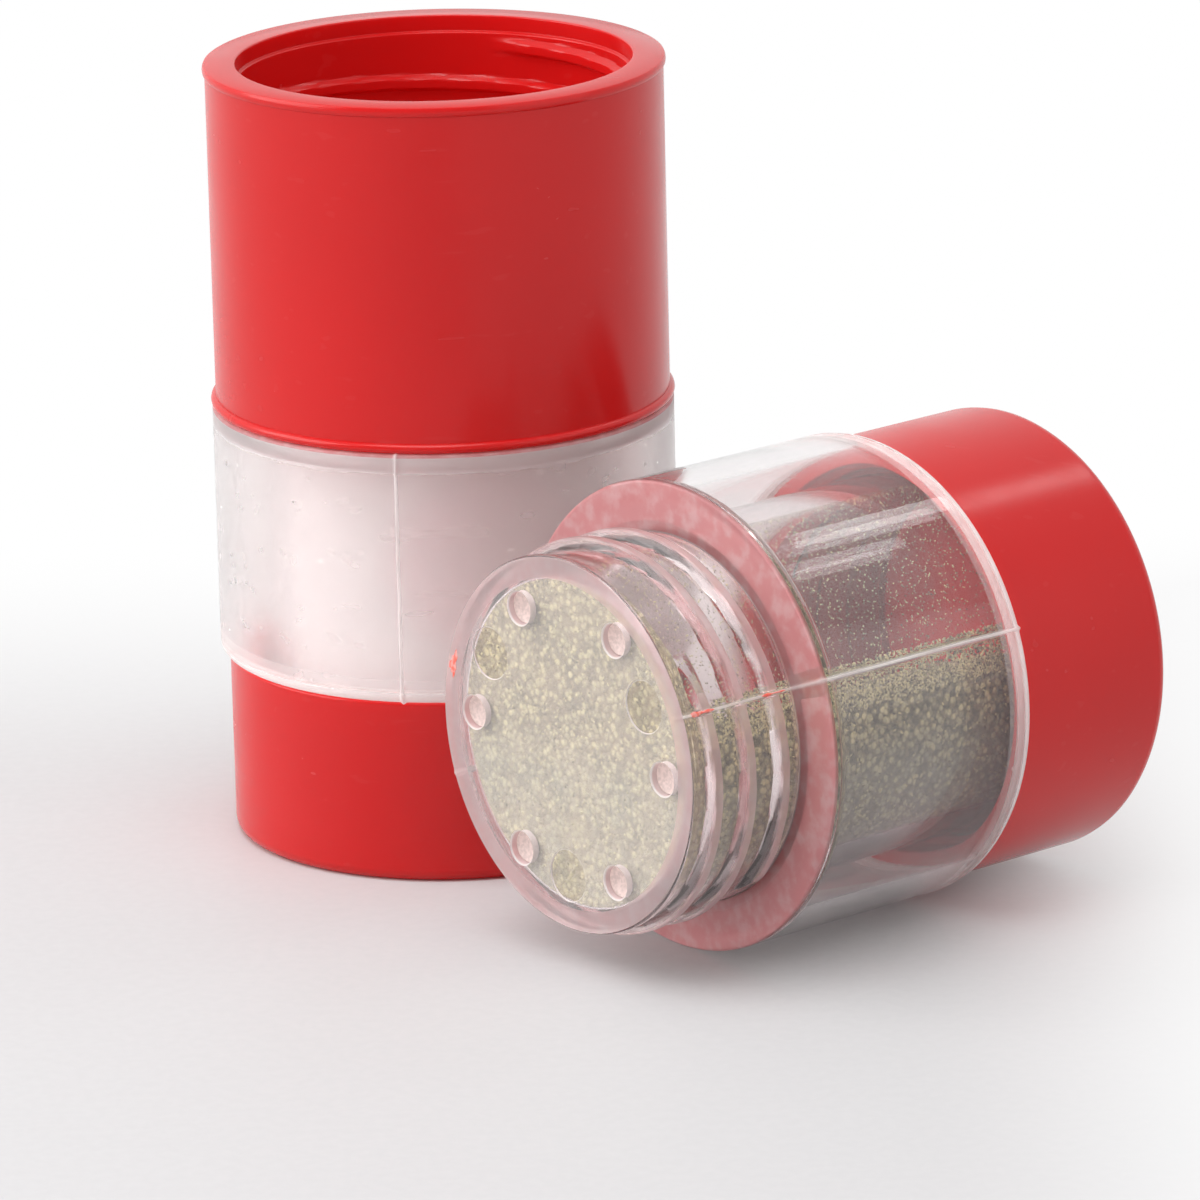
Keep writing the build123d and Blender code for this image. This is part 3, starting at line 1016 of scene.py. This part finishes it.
def sort_wear(piece):
    """Gives the faces with much wear and painted pink light the plastics that let less light in."""
    mesh = piece.data
    rub, _, milk, _ = field(mesh.attributes["wear"].data, "color", 4, np.float32)
    starts = field(mesh.polygons, "loop_start")[0]
    counts = field(mesh.polygons, "loop_total")[0]
    lost = np.add.reduceat(0.22 * rub + 0.6 * milk, starts) / counts
    for name, _, _ in WORN_PLASTICS:
        mesh.materials.append(MATERIALS[name])
    steps = [least for _, least, _ in WORN_PLASTICS]
    mesh.polygons.foreach_set("material_index", np.digitize(lost, steps).astype(np.int32))


def end_cap(name):
    """Red screw cap, foot down."""
    size = sizes()
    small = 0.15 * MM
    corners = [
        (0, 0),
        (size.cap_radius, 0, size.cap_foot_round),
        (size.cap_radius, REAR_FACE, size.cap_rim_round),
        (size.socket_radius, REAR_FACE, small, 0.3 * MM),
        (size.socket_radius, CAP_FLOOR, small),
        (0, CAP_FLOOR),
    ]
    piece = lathe(name, corners, 200)
    angle = mate_angle(CAP_THREAD_START, REAR_THREAD_START, REAR_THREAD_ANGLE)
    socket_ridge(piece, CAP_THREAD_START, CAP_THREAD_END, angle)
    return settle(piece)


def collar(name):
    """Red double socket with a bead at each end and a web in the middle."""
    size = sizes()
    edge = 0.12 * MM
    beads = []
    for foot, way, share in ((FLANGE_FACE, 1, 1.0), (COLLAR_TOP, -1, UPPER_BEAD_SHARE)):
        for angle in [pi * step / BEAD_STEPS for step in range(BEAD_STEPS + 1)][::way]:
            reach = share * size.bead_reach * sin(angle)
            height = foot + way * size.bead_height * (1 - cos(angle)) / 2
            beads.append((size.collar_radius + reach, height))
    lower_mouth = FLANGE_FACE + size.mouth_length
    upper_mouth = COLLAR_TOP - size.mouth_length
    corners = [
        (0, SEAL_TOP),
        (size.socket_radius, SEAL_TOP, edge, THREAD_STEP),
        (size.socket_radius, lower_mouth, edge),
        (size.mouth_radius, lower_mouth - edge, edge / 2),
        (size.mouth_radius, FLANGE_FACE, edge),
        *beads,
        (size.mouth_radius, COLLAR_TOP, edge),
        (size.mouth_radius, upper_mouth + edge, edge / 2),
        (size.socket_radius, upper_mouth, edge, THREAD_STEP),
        (size.socket_radius, WEB_TOP, edge),
        (0, WEB_TOP),
    ]
    piece = lathe(name, corners)
    start = lower_mouth + 1.0 * MM
    end = NECK_FACE - 0.9 * MM
    angle = mate_angle(start, NECK_THREAD_START, NECK_THREAD_ANGLE)
    socket_ridge(piece, start, end, angle)
    middle = FLANGE_FACE + COLLAR_TOP
    socket_ridge(piece, middle - end, middle - start, -(angle + 2 * pi * (end - start) / size.pitch))
    return settle(piece)


def salt(name):
    """Packed salt in the standing half, its top a little heaped."""
    radius = sizes().bore_radius - sizes().fill_gap
    heap = 0.8 * MM
    corners = [
        (0, SALT_TOP),
        (0.5 * radius, SALT_TOP - heap / 4),
        (radius, SALT_TOP - heap, 0.2 * MM, 1 * MM),
        (radius, TUBE_END, 0.2 * MM),
        (0, TUBE_END),
    ]
    return lathe(name, corners, 120)


def pepper_rings(start, end, radius):
    """Cross sections of the lying pepper: the bore's arc below, a rough level above."""
    rows = 120
    arc_parts = 96
    top_parts = 60
    climb = 0.9 * MM
    tilt = sizes().pepper_tilt
    along_surface = np.array(LYING_SIDE * cos(tilt) - Vector((0, 0, sin(tilt))))
    off_surface = np.array(LYING_SIDE * sin(tilt) + Vector((0, 0, cos(tilt))))
    noise = np.random.default_rng(5)
    bumps = noise.uniform(-1, 1, (rows, top_parts))
    bumps = (bumps + np.roll(bumps, 1, 0) + np.roll(bumps, 1, 1) + np.roll(bumps, 2, 0)) / 4
    rings = []
    for row in range(rows):
        along = start + (end - start) * (row / (rows - 1)) ** 1.5
        dip = sizes().pepper_dip * np.clip((along - 20 * MM) / (12 * MM), 0, 1) ** 1.5
        level = sizes().pepper_level * cos(tilt) - dip
        level += (radius - level) * np.exp(-(along - start) / climb) + 0.35 * MM * sin(along / (5 * MM))
        contact = asin(min(level / radius, 0.995))
        arc = np.linspace(contact, -pi - contact, arc_parts)
        across = radius * np.cos(arc)
        up = radius * np.sin(arc)
        chord = np.linspace(across[-1], across[0], top_parts + 2)[1:-1]
        edge = 1 - (chord / abs(across[0])) ** 4
        heap = up[0] + edge * (0.22 * MM * bumps[row] + 0.15 * MM * np.sin(chord / (3 * MM)))
        heap = np.minimum(heap, np.sqrt(np.maximum(radius**2 - chord**2, 0)))
        across = np.concatenate([across, chord])
        up = np.concatenate([up, heap])
        centre = np.array(LYING_FACE + LYING_AXIS * along)
        rings.append(centre + across[:, None] * along_surface + up[:, None] * off_surface)
    return np.array(rings)


def pepper(name):
    """Ground pepper lying in the tube, from the sifter plate to the cap."""
    radius = sizes().bore_radius - sizes().fill_gap
    start = sizes().plate + sizes().fill_gap
    end = NECK_FACE - TUBE_END - 0.05 * MM
    first = LYING_FACE + LYING_AXIS * start
    last = LYING_FACE + LYING_AXIS * end - Vector((0, 0, 6 * MM))
    return skin(name, pepper_rings(start, end, radius), tuple(first), tuple(last))


def strew(name, source, **values):
    """Flakes over a surface, as one plain mesh."""
    run_tree(source, "Strewn flakes", "flakes", **values)
    settle(source)
    source.name = name
    return source


def clogs(name):
    """Powder packed in the sifter holes, a plug in each, its top a little hollow."""
    size = sizes()
    radius = size.hole_radius - 0.04 * MM
    foot = NECK_FACE - size.plate
    corners = [
        (0, foot + 0.45 * MM),
        (0.6 * radius, foot + 0.5 * MM),
        (radius, foot + 0.75 * MM, 0.05 * MM),
        (radius, foot, 0.05 * MM),
        (0, foot),
    ]
    piece = lathe(name, corners, 40)
    ring = {"count": size.holes, "circle": size.hole_circle, "turn": size.hole_turn}
    run_tree(piece, "Ring of pieces", "clog", **ring)
    return settle(piece)


def tube_lining(name, radius, low_angle, high_angle):
    """A patch of the lying tube's wall, facing inwards, for dust to stick to; angles in degrees."""
    columns = 60
    steps = np.linspace(radians(low_angle), radians(high_angle), columns)
    rows = []
    for along in (sizes().plate + MM, NECK_FACE - TUBE_END):
        centre = np.array(LYING_FACE + LYING_AXIS * along)
        side = np.cos(steps)[:, None] * np.array(LYING_SIDE)
        rows.append(centre + radius * (side + np.sin(steps)[:, None] * np.array((0, 0, 1))))
    faces = [(i, i + 1, columns + i + 1, columns + i) for i in range(columns - 1)]
    return mesh_piece(name, np.concatenate(rows).tolist(), faces)


def smear(name, start, end, width):
    """A thin streak of rubbed colour along the neck's parting line, lens shaped in section."""
    radius = sizes().tube_radius + 0.7 * sizes().flash_height
    steps = 40
    columns = 7
    rings = []
    for step in range(steps):
        share = step / (steps - 1)
        height = start + (end - start) * share
        taper = (1 - 0.6 * share) * (0.7 + 0.3 * sin(9 * share)) * sqrt(max(4 * share * (1 - share), 0.02))
        half = width * taper
        spread = np.linspace(-half, half, columns)
        thick = 0.05 * MM * (1 - (spread / half) ** 2)
        reach = radius + np.concatenate([thick, np.full(columns, -0.03 * MM)])
        rings.append(turned_points(reach, np.concatenate([spread, spread[::-1]]) / radius, height))
    rings = np.array(rings)
    return skin(name, rings, tuple(rings[0].mean(axis=0)), tuple(rings[-1].mean(axis=0)))


def blot(name, radius, angle, width, span):
    """A ragged blot of rubbed colour on the rim of the neck's face."""
    columns = 48
    turns = np.linspace(-pi, pi, columns, endpoint=False)
    ragged = 1 + 0.22 * np.sin(3 * turns + 1) + 0.15 * np.sin(7 * turns) + 0.08 * np.sin(13 * turns + 2)
    rings = []
    for share, lift in ((1.0, -0.02 * MM), (0.97, 0.02 * MM), (0.6, 0.04 * MM), (0.25, 0.045 * MM)):
        reach = radius + share * ragged * width * np.cos(turns)
        side = angle + share * ragged * span * np.sin(turns) / radius
        rings.append(turned_points(reach, side, NECK_FACE + lift))
    middle = Vector((radius * cos(angle), radius * sin(angle), NECK_FACE))
    up = Vector((0, 0, 0.05 * MM))
    return skin(name, np.array(rings), tuple(middle - up / 2), tuple(middle + up))


# -------------------- operators
class SHAKER_OT_clear_halves(bpy.types.Operator):
    """Make the two clear halves with their threads, sifter holes and parting lines"""

    bl_idname = "shaker.clear_halves"
    bl_label = "Clear halves"

    def execute(self, context):
        for body, node, haze, where in (
            ("salt_half", "salt_body", 1.0, standing_place()),
            ("pepper_half", "pepper_body", 0.0, lying_place()),
        ):
            piece = clear_half(body, haze)
            place(piece, where)
            dress(piece, "clear", body, [node])
            sort_wear(piece)
        return {"FINISHED"}


class SHAKER_OT_end_caps(bpy.types.Operator):
    """Make the two red screw caps"""

    bl_idname = "shaker.end_caps"
    bl_label = "End caps"

    def execute(self, context):
        for name, body, node, where in (
            ("salt_cap", "foot", "salt_base_cap", standing_place()),
            ("pepper_cap", "pepper_cap", "pepper_end_cap", lying_place()),
        ):
            piece = end_cap(name)
            place(piece, where)
            dress(piece, "red", body, [node])
        return {"FINISHED"}


class SHAKER_OT_collar(bpy.types.Operator):
    """Make the red coupling collar"""

    bl_idname = "shaker.collar"
    bl_label = "Coupling collar"

    def execute(self, context):
        piece = collar("collar")
        place(piece, standing_place())
        dress(piece, "red", "collar", ["coupling_collar"])
        return {"FINISHED"}


class SHAKER_OT_seals(bpy.types.Operator):
    """Finish the sealing discs of the collar and of the caps"""

    bl_idname = "shaker.seals"
    bl_label = "Seals"

    def execute(self, context):
        for name in ("salt_cap_liner", "pepper_cap_liner", "collar_lower_seal", "collar_upper_seal"):
            mesh = frame["nodes"][name].data
            mesh.materials.clear()
            mesh.materials.append(MATERIALS["seal"])
        return {"FINISHED"}


class SHAKER_OT_salt(bpy.types.Operator):
    """Fill the standing half with salt"""

    bl_idname = "shaker.salt"
    bl_label = "Salt"

    def execute(self, context):
        dress(salt("salt"), "salt", "salt_contents", ["salt_fill"])
        return {"FINISHED"}


class SHAKER_OT_pepper(bpy.types.Operator):
    """Fill the lying half with pepper, with loose flakes and dust on its walls"""

    bl_idname = "shaker.pepper"
    bl_label = "Pepper"

    def execute(self, context):
        size = sizes()
        bed = pepper("pepper")
        flakes = bed.copy()
        flakes.data = bed.data.copy()
        context.scene.collection.objects.link(flakes)
        strew("pepper_flakes", flakes, density=2e6, length=size.flake, flatness=0.3, seed=3)
        wall = size.bore_radius - 0.05 * MM
        dust = tube_lining("pepper_dust", wall, low_angle=70, high_angle=160)
        strew("pepper_dust", dust, density=5.5e6, length=size.dust, flatness=0.6, width=1.9, seed=8)
        crust = tube_lining("pepper_crust", wall - 0.1 * MM, low_angle=156.5, high_angle=171)
        coarse = 0.8 * size.flake
        strew("pepper_crust", crust, density=4e7, length=coarse, flatness=0.4, width=1.5, seed=5)
        plugs = clogs("hole_powder")
        place(plugs, lying_place())
        dress(bed, "pepper", "pepper_half", ["pepper_fill"])
        for piece, material in ((flakes, "flakes"), (dust, "flakes"), (crust, "flakes"), (plugs, "clog")):
            dress(piece, material, "pepper_half", sharp=0)
        return {"FINISHED"}


class SHAKER_OT_smears(bpy.types.Operator):
    """Rub a little red onto the lying neck along its parting line"""

    bl_idname = "shaker.smears"
    bl_label = "Smears"

    def execute(self, context):
        rim = sizes().land_radius - 0.9 * MM
        for piece in (
            smear("smear_right", NECK_FACE - 0.8 * MM, NECK_FACE - 3.4 * MM, width=0.34 * MM),
            smear("smear_flange", FLANGE_FACE + 3.2 * MM, FLANGE_FACE + 0.6 * MM, width=0.2 * MM),
            blot("smear_left", rim, radians(144), width=0.4 * MM, span=1.1 * MM),
        ):
            place(piece, lying_place())
            dress(piece, "smear", "pepper_half")
        return {"FINISHED"}


class SHAKER_OT_stage(bpy.types.Operator):
    """Set up the table, the lamps and the camera"""

    bl_idname = "shaker.stage"
    bl_label = "Stage"

    def execute(self, context):
        scene = context.scene
        make_floor()
        make_world(scene)
        make_lamps(scene.shaker_stage)
        make_camera(scene, scene.shaker_stage)
        scene.view_settings.view_transform = "Standard"
        scene.cycles.max_bounces = 14
        scene.cycles.transmission_bounces = 14
        scene.cycles.transparent_max_bounces = 32
        scene.cycles.glossy_bounces = 4
        scene.cycles.diffuse_bounces = 3
        return {"FINISHED"}


# -------------------- the stage
TABLE_HALF = 1.5
LAMP_TARGET = Vector((0.02, -0.01, 0.03))


def make_lamps(stage):
    # name, place, side of the lamp's square, watts
    for name, spot, side, power in (
        ("key lamp", (-0.72, -0.12, 0.38), 0.7, stage.key_power),
        ("rear lamp", (0.46, 0.34, 0.66), 0.1, stage.rear_power),
        ("top lamp", (-0.1, -0.25, 0.8), 0.5, stage.top_power),
        ("fill lamp", (0.62, -0.4, 0.3), 0.7, stage.fill_power),
    ):
        data = bpy.data.lights.new(name, "AREA")
        data.shape = "SQUARE"
        data.size = side
        data.energy = power
        lamp = show(name, data)
        lamp.location = spot
        lamp.rotation_euler = (LAMP_TARGET - Vector(spot)).to_track_quat("-Z", "Y").to_euler()
        lamp.visible_camera = False


def make_floor():
    """A pale table that fades to white behind the object and to its sides; on the right the white starts
    close by and is painted light over the red cap's shadow.
    """
    places = [(x * TABLE_HALF, y * TABLE_HALF, 0) for x, y in ((-1, -1), (1, -1), (1, 1), (-1, 1))]
    piece = mesh_piece("table", places, [(0, 1, 2, 3)])
    paint = Paint("table")
    speckle = paint.noise(900.0, 4.0)
    base = paint.mix(speckle, shade("floor"), shade("floor", 0.96))
    inputs = {"Base Color": base, "Roughness": paint.ramp(speckle, 0.3, 0.7, 0.55, 0.65)}
    piece.data.materials.append(paint.coat(inputs))
    x, y, _ = paint.split(paint.where)
    behind = paint.ramp(y, 0.0, 0.09)
    # painted light: this white starts close on the right and lifts the red cap's shadow
    right = paint.ramp(x, 0.036, 0.07, 0.0, 0.85)
    left = paint.ramp(x, -0.02, -0.24, 0.0, 0.9)
    share = paint.times(paint.seen(), paint.most(behind, right, left))
    white = paint.add("ShaderNodeEmission", {0: WHITE, 1: 1.0})
    paint.put(paint.end.inputs[0], paint.blend(share, paint.shader, white))


def make_world(scene):
    """Soft light all around; what is seen of it is white ahead and dimmer on the viewer's side."""
    world = bpy.data.worlds.new("studio")
    world.use_nodes = True
    scene.world = world
    world.node_tree.nodes.clear()
    nodes = Nodes(world.node_tree)
    soft = nodes.add("ShaderNodeBackground", {0: WHITE, 1: scene.shaker_stage.world_strength})
    ahead = nodes.split(nodes.add("ShaderNodeTexCoord").outputs["Object"])[1]
    bright = nodes.ramp(ahead, -0.4, 0.2, 0.25, 1.0)
    white = nodes.add("ShaderNodeBackground", {0: WHITE, 1: bright})
    nodes.add("ShaderNodeOutputWorld", {0: nodes.blend(nodes.seen(), soft, white)})


def make_camera(scene, stage):
    data = bpy.data.cameras.new("camera")
    data.lens = stage.camera_lens
    data.sensor_width = 36
    data.clip_start = 0.01
    data.clip_end = 20
    pitch = stage.camera_pitch
    roll = stage.camera_roll
    ahead = Vector((0, cos(pitch), -sin(pitch)))
    right = Vector((1, 0, 0))
    up = right.cross(ahead)
    rolled_right = right * cos(roll) + up * sin(roll)
    rolled_up = up * cos(roll) - right * sin(roll)
    turned = Matrix((rolled_right, rolled_up, -ahead)).transposed().to_4x4()
    camera = show("camera", data)
    camera.matrix_world = Matrix.Translation((stage.camera_x, stage.camera_y, stage.camera_z)) @ turned
    scene.camera = camera


# -------------------- the add-on
class SHAKER_PT_panel(bpy.types.Panel):
    """Lists the shaker's pieces"""

    bl_idname = "SHAKER_PT_panel"
    bl_label = "Salt and pepper shaker"
    bl_space_type = "VIEW_3D"
    bl_region_type = "UI"
    bl_category = "Shaker"

    def draw(self, context):
        for operator in PIECES:
            self.layout.operator(operator.bl_idname)


PIECES = (
    SHAKER_OT_clear_halves,
    SHAKER_OT_end_caps,
    SHAKER_OT_collar,
    SHAKER_OT_seals,
    SHAKER_OT_salt,
    SHAKER_OT_pepper,
    SHAKER_OT_smears,
    SHAKER_OT_stage,
)
GROUPS = {
    "shaker_sizes": ShakerSizes,
    "shaker_colours": ShakerColours,
    "shaker_stage": ShakerStage,
}


def register():
    for made in (*GROUPS.values(), *PIECES, SHAKER_PT_panel):
        bpy.utils.register_class(made)
    for name, made in GROUPS.items():
        setattr(bpy.types.Scene, name, PointerProperty(type=made))


def unregister():
    for name in GROUPS:
        delattr(bpy.types.Scene, name)
    for made in reversed((*GROUPS.values(), *PIECES, SHAKER_PT_panel)):
        bpy.utils.unregister_class(made)


def main():
    register()
    prepare_materials()
    bpy.ops.shaker.clear_halves()
    bpy.ops.shaker.end_caps()
    bpy.ops.shaker.collar()
    bpy.ops.shaker.seals()
    bpy.ops.shaker.salt()
    bpy.ops.shaker.pepper()
    bpy.ops.shaker.smears()
    bpy.ops.shaker.stage()


if __name__ == "__main__":
    main()
